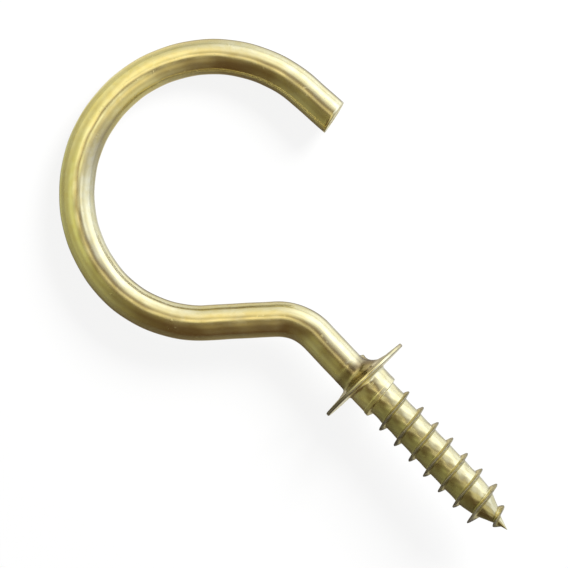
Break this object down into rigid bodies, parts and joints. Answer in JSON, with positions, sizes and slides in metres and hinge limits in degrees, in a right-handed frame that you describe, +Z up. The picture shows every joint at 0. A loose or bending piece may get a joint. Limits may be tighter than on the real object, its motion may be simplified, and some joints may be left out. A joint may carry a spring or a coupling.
{
  "type": "cup hook",
  "caption": "Round wire cup hook with a bent neck and an open loop, a thin collar and a rolled wood screw with a gimlet point.",
  "frame": {"origin": "centre of the hook's box, on the surface that it lies on", "axes": "+X along the hook from the screw's point to the crown of the loop, +Z up; the loop opens towards -Y"},
  "size_m": [0.0498, 0.0258, 0.0085],
  "materials": {
    "brass_plate": "bright brass plating over steel wire"
  },
  "bodies": {
    "root": {"cup_hook": "brass_plate"}
  },
  "joints": []
}
